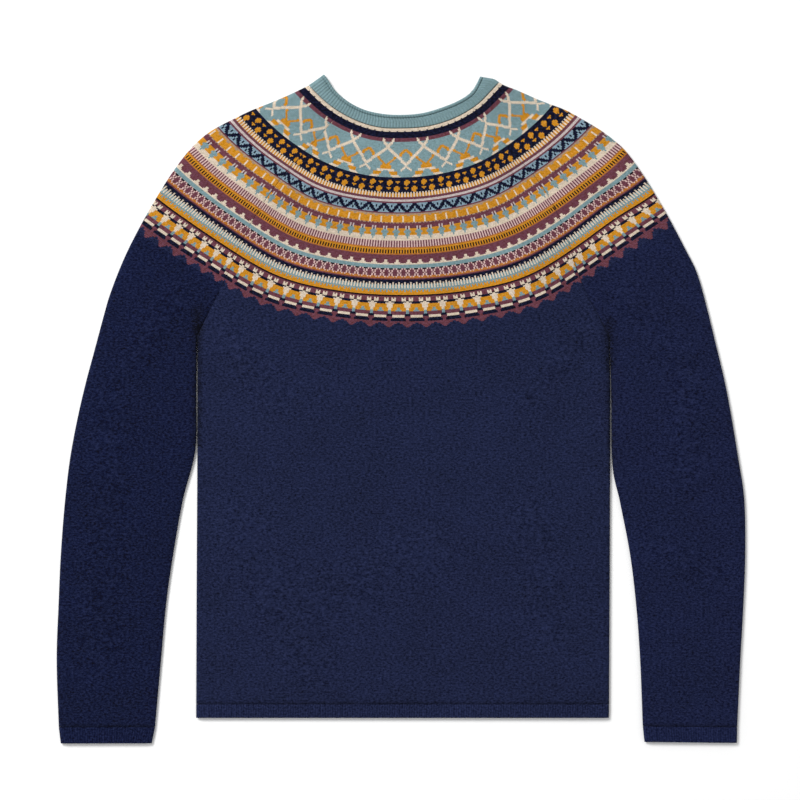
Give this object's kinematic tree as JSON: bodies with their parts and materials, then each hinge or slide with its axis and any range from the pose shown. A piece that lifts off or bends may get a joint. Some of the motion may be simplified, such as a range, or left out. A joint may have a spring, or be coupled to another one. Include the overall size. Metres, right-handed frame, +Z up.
{
  "type": "fair isle sweater",
  "caption": "Raglan pullover laid flat, with a banded fair isle yoke, plain long sleeves and body, ribbed neckband, hem and cuffs.",
  "frame": {"origin": "on the surface the sweater lies on, under the middle of its whole outline", "axes": "+X across the sweater, from the wearer's right sleeve to the left one; +Y from the hem towards the neck; +Z up from the surface, out of the front of the garment"},
  "size_m": [0.7237, 0.7031, 0.0068],
  "materials": {
    "front_knit": "soft wool knit, patterned yoke over navy",
    "back_knit": "soft wool knit, patterned yoke over navy",
    "sleeve_knit": "soft wool knit, patterned yoke over navy",
    "neck_rib": "soft ribbed wool knit",
    "navy_rib": "soft ribbed wool knit"
  },
  "bodies": {
    "root": {"front": "front_knit", "back": "back_knit", "sleeve_right": "sleeve_knit", "sleeve_left": "sleeve_knit", "neckband": "neck_rib", "hem_front": "navy_rib", "hem_back": "navy_rib", "cuff_right": "navy_rib", "cuff_left": "navy_rib"}
  },
  "joints": []
}
